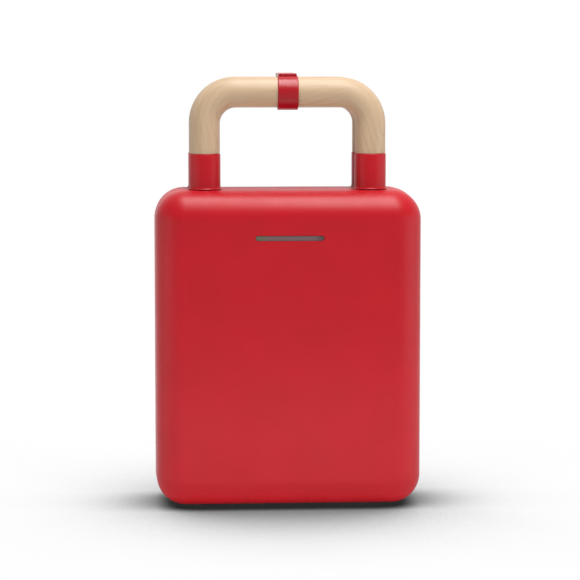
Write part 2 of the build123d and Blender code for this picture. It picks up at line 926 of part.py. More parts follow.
def shared_pieces():
    """Pieces that both halves have alike, by the second part of their names."""
    return {
        "waffle_plate": waffle_plate(),
        "element": element(),
        "element_clips": element_clips(),
        "reflector": reflector(),
        "reflector_screws": reflector_screws(),
        "release_slide": release_slide(),
        "release_spring": release_spring(),
        "housing_screws": housing_screws(),
        "handle": handle(),
        "socket_left": handle_socket(-1),
        "socket_right": handle_socket(1),
        "handle_screws": handle_screws(),
        "end_feet": end_feet(),
        "terminal_block": terminal_block(),
    }


def base_pieces():
    """Pieces that only the base has, by name."""
    return {
        "base_housing": base_housing(),
        "base_bezel": bezel_with_hinge(inner=False, barrel_side=-1),
        "base_thermostat": disc_switch(),
        "base_wires": base_wires(),
        "base_hinge_lead": mirror(hinge_lead(), Plane.YZ),
        "thermal_fuse": thermal_fuse(),
        "rear_feet": rear_feet(),
        "cord_gland": cord_gland(),
        "hinge_pins": hinge_pins(),
    }


def lid_pieces():
    """Pieces that only the lid has, by name, still drawn at y > 0."""
    return {
        "lid_housing": lid_housing(),
        "lid_bezel": bezel_with_hinge(inner=True, barrel_side=1),
        "lid_thermal_limiter": disc_switch(),
        "lid_wires": lid_wires(),
        "lid_hinge_lead": hinge_lead(),
        "indicator_window": indicator_window(),
        "indicator_board": indicator_board(),
        "indicator_screws": indicator_screws(),
        "indicator_leads": indicator_leads(),
        "green_lamp": lamp(-1),
        "red_lamp": lamp(1),
    }


def as_list(piece):
    """A group of like pieces as a list, also where it is a single piece."""
    return piece if isinstance(piece, list) else [piece]


def write(name, piece):
    """Write one piece, or a group of like pieces, moved so that the whole is centred on Y."""
    solids = [solid for item in as_list(piece) for solid in (Pos(0, model_shift, 0) * item).solids()]
    shape = solids[0] if len(solids) == 1 else Compound(children=solids)
    shape.label = name
    export_step(shape, os.path.join("parts", name + ".step"))


def write_lid(name, piece):
    """Write a piece of the lid, turned to its own side of the parting plane."""
    write(name, [mirror(item, Plane.XZ) for item in as_list(piece)])


for name, piece in shared_pieces().items():
    write("base_" + name, piece)
    write_lid("lid_" + name, piece)
for name, piece in base_pieces().items():
    write(name, piece)
for name, piece in lid_pieces().items():
    write_lid(name, piece)
write("latch_clip", latch_clip())
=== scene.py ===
# %% [markdown]
# # A sandwich and waffle maker, standing on its hinge end
#
# The machine is two deep plastic shells that close on each other like a book. It is stored
# upright on the hinge, with two bent wooden handles on top and a clip round their bars.
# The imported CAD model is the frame: every piece below sits where its node sits. The mechanical
# pieces keep the CAD's shape, and the ones that meet the eye first get surfaces of their own.

# %% Load the frame
import json
import math

import bpy
import numpy as np
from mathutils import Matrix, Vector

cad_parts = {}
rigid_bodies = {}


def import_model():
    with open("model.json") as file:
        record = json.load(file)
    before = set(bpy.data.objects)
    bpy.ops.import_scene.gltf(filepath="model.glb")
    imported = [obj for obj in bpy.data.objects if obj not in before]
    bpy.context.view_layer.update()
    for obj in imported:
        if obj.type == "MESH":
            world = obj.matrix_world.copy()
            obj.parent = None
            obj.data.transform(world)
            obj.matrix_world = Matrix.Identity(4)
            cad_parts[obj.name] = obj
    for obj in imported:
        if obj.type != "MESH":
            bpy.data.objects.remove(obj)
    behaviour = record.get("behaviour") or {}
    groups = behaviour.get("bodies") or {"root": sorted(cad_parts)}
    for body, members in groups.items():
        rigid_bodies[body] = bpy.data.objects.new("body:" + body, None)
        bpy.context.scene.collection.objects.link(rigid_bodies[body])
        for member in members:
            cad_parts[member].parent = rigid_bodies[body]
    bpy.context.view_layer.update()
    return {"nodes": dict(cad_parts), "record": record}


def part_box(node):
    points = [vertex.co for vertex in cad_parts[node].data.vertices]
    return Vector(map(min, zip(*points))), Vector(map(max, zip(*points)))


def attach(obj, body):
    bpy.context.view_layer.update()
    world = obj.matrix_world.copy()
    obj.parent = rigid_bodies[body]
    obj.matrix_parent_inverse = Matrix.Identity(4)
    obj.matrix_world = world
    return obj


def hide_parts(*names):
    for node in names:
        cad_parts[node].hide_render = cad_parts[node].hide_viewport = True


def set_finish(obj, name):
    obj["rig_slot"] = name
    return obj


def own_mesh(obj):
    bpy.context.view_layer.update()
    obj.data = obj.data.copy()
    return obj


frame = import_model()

scene = bpy.context.scene
scene.view_settings.view_transform = "Standard"
print("nodes:", len(frame["nodes"]))

# %% [markdown]
# ## Sizes
#
# A visible surface has to sit exactly where its solid sits, so its sizes are the solid's own.
# They are written in millimetres, each where it is first needed, and the meshes are scaled to
# metres when they are made. The model's middle plane is not the parting plane: feet on one
# side push it over by `parting_y`.

# %% Sizes
MM = 0.001
parting_y = -1.5
body_width = 222.0
shell_low = 2.0
shell_high = 266.0
half_depth = 50.0
sides = {"lid": -1, "base": 1}
print("body", body_width, "by", shell_high - shell_low, "by", 2 * half_depth, "mm")

# %% [markdown]
# ## From a grid of points to a mesh
#
# Nearly every moulded, turned or bent piece is a surface that two parameters describe: one
# along it, one around it. Such a surface is a grid of points, and its faces always join the
# same four neighbours, so one helper makes them all. It closes the seam, caps the poles, and
# turns the faces outwards by the sign of the volume that they enclose.

# %% The grid helper
smooth_angle = 35


def enclosed_volume(vertices, quads):
    """Sum over the faces of a sixth of the box product of their corners, seen from the origin."""
    a, b, c, d = (vertices[quads[:, k]] for k in range(4))
    first_half = np.einsum("ij,ij->i", a, np.cross(b, c))
    second_half = np.einsum("ij,ij->i", a, np.cross(c, d))
    return (first_half + second_half).sum() / 6


def grid_quads(rows, columns, wrap_rows):
    """Corner numbers of the faces. The last column always joins the first, and rows may too."""
    index = np.arange(rows * columns).reshape(rows, columns)
    if wrap_rows:
        index = np.vstack([index, index[:1]])
    index = np.hstack([index, index[:, :1]])
    corners = [index[:-1, :-1], index[:-1, 1:], index[1:, 1:], index[1:, :-1]]
    return np.stack(corners, axis=-1).reshape(-1, 4)


def surface(name, points, wrap_rows=False, capped=False):
    """Closed mesh over a grid of points in millimetres. A cap is a fan to the mean of a row."""
    rows, columns = points.shape[:2]
    vertices = points.reshape(-1, 3) * MM
    quads = grid_quads(rows, columns, wrap_rows)
    if capped:
        first = np.arange(columns)
        last = first + (rows - 1) * columns
        poles = np.array([vertices[first].mean(0), vertices[last].mean(0)])
        pole = len(vertices)
        vertices = np.vstack([vertices, poles])
        first_pole = np.full(columns, pole)
        last_pole = np.full(columns, pole + 1)
        near = np.stack([np.roll(first, -1), first, first_pole, first_pole], -1)
        far = np.stack([last, np.roll(last, -1), last_pole, last_pole], -1)
        quads = np.vstack([quads, near, far])
    if enclosed_volume(vertices, quads) < 0:
        quads = quads[:, ::-1]
    faces = [list(dict.fromkeys(face)) for face in quads.tolist()]
    mesh = bpy.data.meshes.new(name)
    mesh.from_pydata(vertices.tolist(), [], faces)
    mesh.shade_smooth()
    mesh.set_sharp_from_angle(angle=math.radians(smooth_angle))
    made = bpy.data.objects.new(name, mesh)
    scene.collection.objects.link(made)
    print(f"{name}: {rows} by {columns} points, {len(mesh.polygons)} faces")
    return made


def stand_for(piece, body, nodes, slot):
    """Give a new piece its body, the nodes that it stands for and its slot."""
    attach(piece, body)
    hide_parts(*nodes)
    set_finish(piece, slot)
    return piece


# %% [markdown]
# ## Keeping a CAD shape, but with soft edges
#
# A CAD mesh arrives as loose triangles that are lit flat. Pieces such as the bezels, the clip
# and the feet have the right shape already. A copy of the mesh has its doubles merged and its
# flat areas joined back into single faces, and a narrow bevel then gives every edge the small
# radius that a mould leaves. Weighted normals keep the flats flat beside that bevel.

# %% The soft-edged copy
weld_distance = 1e-6
flat_angle = 0.5
bevel_segments = 2


def soft_edged(name, node, body, slot, bevel=0.3, angle=30):
    """Merged copy of a CAD node with edges rounded by a bevel, in millimetres."""
    mesh = frame["nodes"][node].data.copy()
    mesh.name = name
    made = bpy.data.objects.new(name, mesh)
    scene.collection.objects.link(made)
    bpy.context.view_layer.objects.active = made
    made.select_set(True)
    bpy.ops.object.mode_set(mode="EDIT")
    bpy.ops.mesh.select_all(action="SELECT")
    bpy.ops.mesh.remove_doubles(threshold=weld_distance)
    bpy.ops.mesh.dissolve_limited(angle_limit=math.radians(flat_angle))
    bpy.ops.object.mode_set(mode="OBJECT")
    made.select_set(False)
    mesh.shade_smooth()
    mesh.set_sharp_from_angle(angle=math.radians(angle))
    soften = made.modifiers.new("moulded edge", "BEVEL")
    soften.width = bevel * MM
    soften.segments = bevel_segments
    soften.limit_method = "ANGLE"
    soften.angle_limit = math.radians(angle)
    soften.harden_normals = True
    soften.use_clamp_overlap = True
    level = made.modifiers.new("level flats", "WEIGHTED_NORMAL")
    level.keep_sharp = True
    print(f"{name}: copy of {node}, {len(mesh.polygons)} faces")
    return stand_for(made, body, [node], slot)


# %% [markdown]
# ## The two housings
#
# Each shell is a deep tray moulded in red plastic: straight walls, round corners, and a
# generous roll where the walls turn into the flat face. A box with a bevel can't do this,
# because the corner and the roll have different radii. Instead the outline is a loop of
# points that each know their own corner centre, and the shell is that loop drawn again and
# again at another inset and another depth, up the outside and back down the inside.

# %% Loop of a rounded rectangle
corner_radius = 25.0
corner_steps = 14
straight_steps = 10
window_z = 227.0
slot_band = 8.0
slot_band_points = 17


def skeleton_loop():
    """Corner centres and outward directions of the housing's outline, one pair for each point.

    On a straight side the centre moves and the direction stays. In a corner the centre stays
    and the direction turns through a quarter circle. A point is centre + (radius - inset) x
    direction, so every inset of the outline comes from the same two arrays. The upright sides
    have more points beside the window's slot.
    """
    half_x = body_width / 2 - corner_radius
    half_z = (shell_high - shell_low) / 2 - corner_radius
    middle = (shell_high + shell_low) / 2
    centres, directions = [], []
    turn = np.linspace(0, math.pi / 2, corner_steps)
    even = np.linspace(0, 1, straight_steps + 2)[1:-1]
    band = np.linspace(-slot_band, slot_band, slot_band_points)
    beside_slot = (half_z - (window_z - middle) + band) / (2 * half_z)
    falling = np.sort(np.concatenate([even, beside_slot]))
    corners = [(half_x, half_z), (-half_x, half_z), (-half_x, -half_z), (half_x, -half_z)]
    shares = [even, falling, even, 1 - falling[::-1]]
    for k, (x, z) in enumerate(corners):
        angle = turn + k * math.pi / 2
        next_x, next_z = corners[(k + 1) % 4]
        centres.append(np.tile((x, z + middle), (corner_steps, 1)))
        directions.append(np.stack([np.cos(angle), np.sin(angle)], -1))
        along = shares[k]
        side_x = x + (next_x - x) * along
        side_z = z + (next_z - z) * along + middle
        centres.append(np.stack([side_x, side_z], -1))
        directions.append(np.tile((math.cos(angle[-1]), math.sin(angle[-1])), (len(along), 1)))
    return np.vstack(centres), np.vstack(directions)


loop_centres, loop_directions = skeleton_loop()
loop_length = len(loop_centres)
print("points round the housing:", loop_length)

# %% [markdown]
# ## The slot in the face
#
# The lid's face has a slot for the indicator window. A boolean could cut it, but a slot loop
# with as many points as the outline is cleaner: the face's rows then run evenly from the
# slot's edge out to the roll.

# %% Slot loop with the same points
roll_radius = 24.0
window_length = 56.5
window_height = 4.2
tiny = 1e-9


def slot_loop(inset):
    """The window's round-ended slot, met by a ray from its middle through each outline point.

    A ray at a shallow angle meets the round end, where the distance follows from the circle's
    equation. Any other ray meets the straight edge, at half the height over its sine.
    """
    radius = window_height / 2 - inset
    reach = window_length / 2 - inset - radius
    outline = loop_centres + (corner_radius - roll_radius) * loop_directions
    ray = outline - np.array([0.0, window_z])
    ray /= np.linalg.norm(ray, axis=1, keepdims=True)
    across = np.abs(ray[:, 0])
    rise = np.maximum(np.abs(ray[:, 1]), tiny)
    to_edge = radius / rise
    to_end = reach * across + np.sqrt(np.maximum(radius**2 - (reach * rise) ** 2, 0))
    meets_end = to_edge * across > reach
    distance = np.where(meets_end, to_end, to_edge)
    return np.array([0.0, window_z]) + ray * distance[:, None]


print("slot loop spans", np.ptp(slot_loop(0.0), axis=0).round(2))

# %% [markdown]
# ## Wall, roll and rim
#
# Walls and roll are the outline at pairs of inset and depth. Moulded walls lean in a little,
# so that the part leaves its mould, and the rim has a small round edge where the two halves
# nearly meet. The gap between the rims is narrower than the solids', because light would show
# through it in a view along it.

# %% Profile of a wall and its rim
wall = 2.5
wall_draft = 0.7
wall_start = 1.5
wall_points = 5
roll_points = 16
parting_gap = 0.03
rim_round = 0.8
rim_points = 5


def wall_profile(inset_by, draft):
    """Inset and depth of the wall and its roll, for an outer (0) or inner (wall) surface.

    The wall leans in evenly, by draft in all, up to the roll. The roll is a quarter ellipse: its
    inset is R - (r - draft) cos t and its depth is start + r sin t, with r the roll's radius less
    the inset.
    """
    radius = roll_radius - inset_by
    turn = np.linspace(0, math.pi / 2, roll_points)
    roll_start = half_depth - roll_radius
    straight = np.linspace(parting_gap + wall_start, roll_start, wall_points)[:-1]
    leaning = inset_by + draft * straight / roll_start
    inset = np.concatenate([leaning, roll_radius - (radius - draft) * np.cos(turn)])
    depth = np.concatenate([straight, roll_start + radius * np.sin(turn)])
    return inset, depth


def outline_rows(inset, depth):
    """Outline loops at paired insets and depths, as an array of rows of points (x, depth, z)."""
    flat = loop_centres[None] + (corner_radius - inset)[:, None, None] * loop_directions[None]
    level = np.broadcast_to(depth[:, None], flat.shape[:2])
    return np.stack([flat[..., 0], level, flat[..., 1]], -1)


def rim_rows():
    """Rounded edge of the outer wall at the parting line, a quarter circle of rim_round."""
    turn = np.linspace(0, math.pi / 2, rim_points)
    inset = rim_round - rim_round * np.sin(turn)
    depth = parting_gap + rim_round - rim_round * np.cos(turn)
    return outline_rows(inset, depth)


roll_end = [round(float(row[-1]), 2) for row in wall_profile(0.0, wall_draft)]
print("inset and depth where the roll ends:", roll_end)

# %% All rows of a housing
slot_clearance = 0.1
slot_lead_in = 0.25
face_rows = 8
pole_share = 0.02


def rows_between(first, last, steps):
    """Loops blended evenly from one loop to another, both ends left out."""
    share = np.linspace(0, 1, steps + 2)[1:-1, None, None]
    return first[None] * (1 - share) + last[None] * share


def flat_loop(loop, depth):
    """A loop of (x, z) laid at one depth."""
    return np.stack([loop[:, 0], np.full(len(loop), depth), loop[:, 1]], -1)


def housing_rows(open_slot):
    """All rows of a housing: out over the face, down the outside, round the rim and back inside.

    The lid's rows end where they began, in the window's slot. The base's end on two poles.
    """
    outer = outline_rows(*wall_profile(0.0, wall_draft))
    inner = outline_rows(*wall_profile(wall, 0.0))
    inner_end = outline_rows(np.array([wall]), np.array([parting_gap]))
    walls = [outer[::-1], rim_rows()[::-1], inner_end, inner]
    if open_slot:
        first = flat_loop(slot_loop(-slot_lead_in), half_depth)
        last = flat_loop(slot_loop(-slot_clearance), half_depth - wall)
        edge = [flat_loop(slot_loop(-slot_clearance), half_depth - slot_lead_in)[None]]
    else:
        middle = np.array([0.0, (shell_low + shell_high) / 2])
        first = flat_loop(middle + pole_share * (outer[-1][:, [0, 2]] - middle), half_depth)
        last = first - np.array([0, wall, 0])
        edge = []
    face = [first[None], rows_between(first, outer[-1], face_rows)]
    back = [rows_between(inner[-1], last, face_rows), last[None]]
    return np.concatenate(face + walls + back + edge)


print("rows of the lid and the base:", len(housing_rows(True)), len(housing_rows(False)))

# %% [markdown]
# ## What is cut out of the housings
#
# The hinge turns in a round trough along the bottom end, and the cord comes out through a
# round seat in the base's roll. Both cross the grid's rows at a slant, so here a boolean with
# a cylinder is the simpler way.

# %% Round cuts
cutter_sides = 96


def cut_round(piece, radius, length, centre, turn):
    """Cut a round hole or trough into a piece. Lengths are millimetres, turns degrees."""
    bpy.ops.mesh.primitive_cylinder_add(
        vertices=cutter_sides,
        radius=radius * MM,
        depth=length * MM,
        location=[value * MM for value in centre],
        rotation=[math.radians(angle) for angle in turn],
    )
    cutter = bpy.context.object
    boolean = piece.modifiers.new("cut", "BOOLEAN")
    boolean.operation = "DIFFERENCE"
    boolean.solver = "EXACT"
    boolean.object = cutter
    bpy.context.view_layer.objects.active = piece
    bpy.ops.object.modifier_apply(modifier=boolean.name)
    bpy.data.objects.remove(cutter)


def finish_cut(piece):
    """Shade a cut piece smooth again, with its new edges sharp and its flats level."""
    piece.data.shade_smooth()
    piece.data.set_sharp_from_angle(angle=math.radians(smooth_angle))
    level = piece.modifiers.new("level flats", "WEIGHTED_NORMAL")
    level.keep_sharp = True


# %% Build the housings
hinge_height = 10.0
trough_radius = 16.2
trough_half_width = 104.0
gland_x = 45.0
roll_reach = roll_radius / math.sqrt(2)
gland_y = half_depth - roll_radius + roll_reach + parting_y
gland_z = shell_low + roll_radius - roll_reach
gland_place = np.array([gland_x, gland_y, gland_z])
gland_way = np.array([0.0, 1.0, -1.0]) / math.sqrt(2)
gland_seat_radius = 9.0
gland_seat_depth = 1.6
gland_hole_radius = 5.3
gland_drill = 12.0


def to_side(points, side):
    """Move points from depth y > 0 to one side of the parting plane of the real machine."""
    placed = points.copy()
    placed[..., 1] = placed[..., 1] * side + parting_y
    return placed


def make_housing(name, side):
    """Shell of one half, cut away round the hinge, and the base's where the cord comes out."""
    slotted = name == "lid"
    rows = to_side(housing_rows(slotted), side)
    shell = surface(name + "_housing_shell", rows, wrap_rows=slotted, capped=not slotted)
    hinge_line = (0, parting_y, hinge_height)
    cut_round(shell, trough_radius, 2 * trough_half_width, hinge_line, (0, 90, 0))
    if name == "base":
        seat_middle = gland_place + gland_way * (gland_drill / 2 - gland_seat_depth)
        cut_round(shell, gland_seat_radius, gland_drill, seat_middle, (45, 0, 0))
        cut_round(shell, gland_hole_radius, 2 * gland_drill, gland_place, (45, 0, 0))
    return shell


for name, side in sides.items():
    shell = make_housing(name, side)
    finish_cut(shell)
    stand_for(shell, name, [name + "_housing"], "red_shell")
    print(name, "shell spans", [round(length / MM, 1) for length in shell.dimensions])

# %% [markdown]
# ## The wooden handles
#
# Each handle is one round rod of pale beech bent into a U, with a thinner tenon at each end
# that hides in its socket. A curve with a bevel would give the tube, but not the tenon, and
# it would lose the way the fibres run. So the rod is a circle carried along the path, and
# each point also keeps its place in the straight rod, as it was before it was bent. The wood
# material reads that place, so that the grain follows the bend.

# %% Path of a handle
handle_spread = 69.0
handle_radius = 12.6
handle_bend = 26.0
handle_bar_z = 346.0
socket_top = 295.3
tenon_radius = 9.5
tenon_gap = 5.6
tenon_chamfer = 0.6
shoulder_inset = 0.45
shoulder_edge = 0.1
shoulder_rise = 0.25
shoulder_height = 0.7
leg_points = 6
bend_points = 17
bar_points = 8


def handle_path():
    """Stations up the left leg, round the bend and along half the bar, then their mirror image.

    Every station has x and z of the centre, the turn of the path from upright, and the radius.
    On the bend the centre is the bend's own centre plus its radius in the direction of the turn.
    """
    leg_top = handle_bar_z - handle_bend
    bend_x = handle_spread - handle_bend
    tenon_low = shell_high + tenon_gap
    tenon = [
        (tenon_low, tenon_radius - tenon_chamfer),
        (tenon_low + tenon_chamfer, tenon_radius),
        (socket_top, tenon_radius),
        (socket_top, handle_radius - shoulder_inset),
        (socket_top + shoulder_rise, handle_radius - shoulder_edge),
    ]
    tenon_z, tenon_r = np.array(tenon).T
    upright = len(tenon) + leg_points
    leg_z = np.linspace(socket_top + shoulder_height, leg_top, leg_points)
    turn = np.linspace(0, math.pi / 2, bend_points + 1)[1:]
    bar_x = np.linspace(-bend_x, 0, bar_points + 1)[1:]
    bar_z = np.full(bar_points, handle_bar_z)
    bent_x = -bend_x - handle_bend * np.cos(turn)
    bent_z = leg_top + handle_bend * np.sin(turn)
    x = np.concatenate([np.full(upright, -handle_spread), bent_x, bar_x])
    z = np.concatenate([tenon_z, leg_z, bent_z, bar_z])
    angle = np.concatenate([np.zeros(upright), turn, np.full(bar_points, math.pi / 2)])
    radius = np.concatenate([tenon_r, np.full(len(x) - len(tenon), handle_radius)])
    half = np.stack([x, z, angle, radius], -1)
    other = half[-2::-1] * np.array([-1, 1, -1, 1]) + np.array([0, 0, math.pi, 0])
    return np.vstack([half, other])


print("stations along a handle:", len(handle_path()))

# %% Carry a circle along the path
handle_offset = 14.5
handle_sides = 48


def make_handle(name, side):
    """Point = centre + r (cos p x outward normal + sin p x depth), for p all the way round."""
    x, z, turn, radius = handle_path().T
    p = np.linspace(0, 2 * math.pi, handle_sides, endpoint=False)
    out = np.stack([-np.cos(turn), np.zeros_like(turn), np.sin(turn)], -1)
    centre = np.stack([x, np.full_like(x, handle_offset * side + parting_y), z], -1)
    depth = np.array([0.0, 1.0, 0.0])
    ring = np.cos(p)[None, :, None] * out[:, None] + np.sin(p)[None, :, None] * depth
    points = centre[:, None] + radius[:, None, None] * ring
    rod = surface(name + "_handle_rod", points, capped=True)
    run = np.concatenate([[0], np.cumsum(np.hypot(np.diff(x), np.diff(z)))])
    along = np.broadcast_to(run[:, None], (len(run), handle_sides))
    outward = radius[:, None] * np.cos(p)
    deep = radius[:, None] * np.sin(p)
    straight = np.stack([along, outward, deep], -1).reshape(-1, 3)
    ends = np.array([[run[0], 0, 0], [run[-1], 0, 0]])
    place = rod.data.attributes.new("straight_rod", "FLOAT_VECTOR", "POINT")
    place.data.foreach_set("vector", (np.vstack([straight, ends]) * MM).ravel())
    return stand_for(rod, name, [name + "_handle"], "wood")


for name, side in sides.items():
    make_handle(name, side)

# %% [markdown]
# ## The sockets
#
# The wooden legs stand in four round plastic sockets. A socket is turned about its axis, so
# its whole shape is one outline of radius and height, spun round: out of the screw hole, over
# the foot's small flare, up the wall, over the rounded lip and down the hole of the tenon.

# %% Turn the sockets
socket_radius = 13.1
socket_floor = 5.5
socket_flare = 1.2
socket_sides = 64
socket_play = 0.1
screw_hole_radius = 2.2
hole_chamfer = 0.3
lip_points = 6
cove_points = 8


def turned(name, profile, centre):
    """Profile of (radius, height) spun about an upright axis: x = r cos p, y = r sin p."""
    p = np.linspace(0, 2 * math.pi, socket_sides, endpoint=False)
    radius, height = profile.T
    x = centre[0] + radius[:, None] * np.cos(p)
    y = centre[1] + radius[:, None] * np.sin(p)
    z = np.broadcast_to(height[:, None], (len(height), socket_sides))
    return surface(name, np.stack([x, y, z], -1), wrap_rows=True)


def socket_profile():
    """Closed outline of a socket.

    The lip is a quarter circle. The foot spreads in a cove, a quarter ellipse that is twice as
    high as it is wide.
    """
    top = socket_top - socket_play
    floor = shell_high + socket_floor
    hole = tenon_radius + socket_play
    turn = np.linspace(0, math.pi / 2, lip_points)
    lip_r = socket_radius - rim_round + rim_round * np.cos(turn)
    lip_z = top - rim_round + rim_round * np.sin(turn)
    turn = np.linspace(0, math.pi / 2, cove_points)
    cove_r = socket_radius + socket_flare * (1 - np.sin(turn))
    cove_z = shell_high + 2 * socket_flare * (1 - np.cos(turn))
    foot = [(screw_hole_radius, shell_high)]
    cove = np.stack([cove_r, cove_z], -1)
    lip = np.stack([lip_r, lip_z], -1)
    inside = [(hole + hole_chamfer, top), (hole, top - hole_chamfer)]
    inside += [(hole, floor), (screw_hole_radius, floor)]
    return np.vstack([foot, cove, lip, inside])


for name, side in sides.items():
    for hand, x in (("left", -handle_spread), ("right", handle_spread)):
        centre = (x, handle_offset * side + parting_y)
        socket = turned(f"{name}_{hand}_leg_socket", socket_profile(), centre)
        stand_for(socket, name, [f"{name}_socket_{hand}"], "red_shell")

# %% [markdown]
# ## The indicator window
#
# A strip of smoked plastic sits just below the face of the lid, and two small lamps shine
# through it. It is pressed in from behind, so it has a wider lip at the back.

# %% Window
window_sides = 96
window_core = 1.8
window_lip = 2.0
window_round = 0.3
window_front = half_depth - 0.3
window_back = half_depth - wall


def window_loop(grow, depth):
    """Round-ended loop: a circle whose two halves are pulled apart by the straight part."""
    p = np.linspace(0, 2 * math.pi, window_sides, endpoint=False)
    radius = window_height / 2 + grow
    reach = (window_length - window_height) / 2
    pulled = reach * np.sign(np.cos(p) + tiny)
    x = pulled + radius * np.cos(p)
    return np.stack([x, np.full(window_sides, depth), window_z + radius * np.sin(p)], -1)


def window_outline():
    """Growth and depth of the loops: the flat front, its rounded edge, and the lip behind."""
    front = [(-window_core, window_front), (-window_round, window_front)]
    edge = [(-0.1, window_front - 0.08), (0, window_front - window_round), (0, window_back)]
    lip = [(window_lip, window_back), (window_lip, window_back - window_lip)]
    return front + edge + lip + [(-window_core, window_back - window_lip)]


window_points = np.stack([window_loop(grow, depth) for grow, depth in window_outline()])
window = surface("smoked_indicator_window", to_side(window_points, sides["lid"]), capped=True)
stand_for(window, "lid", ["indicator_window"], "smoked_window")

# %% [markdown]
# ## The return springs
#
# Behind each thumb slide a coil spring pushes it home. When the slide is pulled the spring
# gets shorter.

# %% Coil springs
spring_wire = 0.35
spring_turns = 7
turn_points = 16
wire_sides = 12


def make_spring(name, side):
    """Wire circle carried up a helix that fills the CAD node's box.

    The helix is (r cos a, r sin a, rise x a), and the circle lies along its outward direction
    and the axis, which is close enough for a wire this thin.
    """
    node = name + "_release_spring"
    low, high = (np.array(corner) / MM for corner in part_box(node))
    middle = (low + high) / 2
    coil_radius = (high[0] - low[0]) / 2 - spring_wire
    angle = np.linspace(0, 2 * math.pi * spring_turns, turn_points * spring_turns + 1)
    height = np.linspace(low[2] + spring_wire, high[2] - spring_wire, len(angle))
    out = np.stack([np.cos(angle), side * np.sin(angle), np.zeros_like(angle)], -1)
    centre = np.array([middle[0], middle[1], 0.0]) + coil_radius * out
    centre[:, 2] = height
    p = np.linspace(0, 2 * math.pi, wire_sides, endpoint=False)
    up = np.array([0.0, 0.0, 1.0])
    ring = np.cos(p)[None, :, None] * out[:, None] + np.sin(p)[None, :, None] * up
    points = centre[:, None] + spring_wire * ring
    spring = surface(name + "_release_coil", points, capped=True)
    stand_for(spring, name, [node], "bright_steel")
    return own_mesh(spring)


for name, side in sides.items():
    make_spring(name, side)

# %% [markdown]
# ## Pieces that keep the CAD's shape
#
# The clip, the bezels, the plates, the thumb slides, the feet, the gland, the hinge pins and
# the bezels' screws only need soft edges. The edge of a casting is rounder than that of a
# moulding, and rubber is rounder still, so each piece says how wide its bevel is.

# %% Soft-edged pieces
soft_edged("latch_clip_moulding", "latch_clip", "latch", "latch_red", bevel=0.25, angle=40)
soft_edged("cord_bush", "cord_gland", "base", "rubber", bevel=0.3)
soft_edged("hinge_pin_pair", "hinge_pins", "base", "bright_steel", bevel=0.3)
soft_edged("rear_feet_rubber", "rear_feet", "base", "rubber", bevel=0.3)
for name in sides:
    soft_edged(name + "_bezel_moulding", name + "_bezel", name, "black_plastic", bevel=0.25)
    soft_edged(name + "_plate_casting", name + "_waffle_plate", name, "nonstick", bevel=0.9)
    catch = name + "_release"
    soft_edged(name + "_thumb_slide", catch + "_slide", catch, "slide_plastic", bevel=0.3)
    soft_edged(name + "_end_feet_rubber", name + "_end_feet", name, "rubber", bevel=0.6)
    soft_edged(name + "_bezel_screws", name + "_housing_screws", name, "bright_steel", bevel=0.3)

# %% [markdown]
# ## Materials: the shared effects
#
# No real surface is one flat colour. Four small effects are used again and again: a slow
# drift of tone, the fine skin that a mould or a coating leaves, the smudges of hands, and
# dust on what faces upwards. Three node groups make them, the skin's with the smudges in it.
# Each is built once with its own inputs, and a material only sets how much of it shows.

# %% Node helpers
def add(tree, kind, settings=None, **inputs):
    """Add a node, set it up, and give its inputs plain values or links from other nodes."""
    made = tree.nodes.new("ShaderNode" + kind)
    for name, value in (settings or {}).items():
        setattr(made, name, value)
    for name, value in inputs.items():
        key = int(name[1:]) if name[0] == "_" else name.replace("_", " ")
        if isinstance(value, bpy.types.NodeSocket):
            tree.links.new(value, made.inputs[key])
        else:
            made.inputs[key].default_value = value
    return made


def new_group(name, inputs, outputs):
    """Node group with named sockets; float inputs carry a default value."""
    group = bpy.data.node_groups.new(name, "ShaderNodeTree")
    sockets = group.interface
    for label, kind, value in inputs:
        socket = sockets.new_socket(label, in_out="INPUT", socket_type="NodeSocket" + kind)
        if value is not None:
            socket.default_value = value
    for label, kind in outputs:
        sockets.new_socket(label, in_out="OUTPUT", socket_type="NodeSocket" + kind)
    given = group.nodes.new("NodeGroupInput").outputs
    gives = group.nodes.new("NodeGroupOutput").inputs
    return group, given, gives


def place_group(tree, group, **inputs):
    """Put a group in a material, with its inputs set or linked by name."""
    made = add(tree, "Group", {"node_tree": group})
    for name, value in inputs.items():
        socket = made.inputs[name.replace("_", " ")]
        if isinstance(value, bpy.types.NodeSocket):
            tree.links.new(value, socket)
        else:
            socket.default_value = value
    return made.outputs


# %% Single nodes that come back often
def math_node(tree, operation, *values):
    """Output of a Math node with its inputs in order."""
    inputs = {f"_{k}": value for k, value in enumerate(values)}
    return add(tree, "Math", {"operation": operation}, **inputs).outputs[0]


def mix_colours(tree, share, first, second, blend_type="MIX"):
    """Output of a Mix node between two colours. Share 0 gives the first."""
    settings = {"data_type": "RGBA", "blend_type": blend_type}
    return add(tree, "Mix", settings, _0=share, _6=first, _7=second).outputs[2]


def remap(tree, value, low, high, to_low=0.0, to_high=1.0):
    """Output of a Map Range node from low..high to to_low..to_high, held at its ends."""
    return add(tree, "MapRange", _0=value, _1=low, _2=high, _3=to_low, _4=to_high).outputs[0]


def noise(tree, place, scale, **settings):
    """Value of a noise texture, from 0 to 1."""
    return add(tree, "TexNoise", Vector=place, Scale=scale, **settings).outputs["Fac"]


def fill_ramp(ramp, tones):
    """Set a colour ramp's stops from pairs of place and (red, green, blue)."""
    stops = ramp.color_ramp.elements
    for _ in range(len(tones) - 2):
        stops.new(0.5)
    for stop, (position, tone) in zip(stops, tones):
        stop.position = position
        stop.color = (*tone, 1)


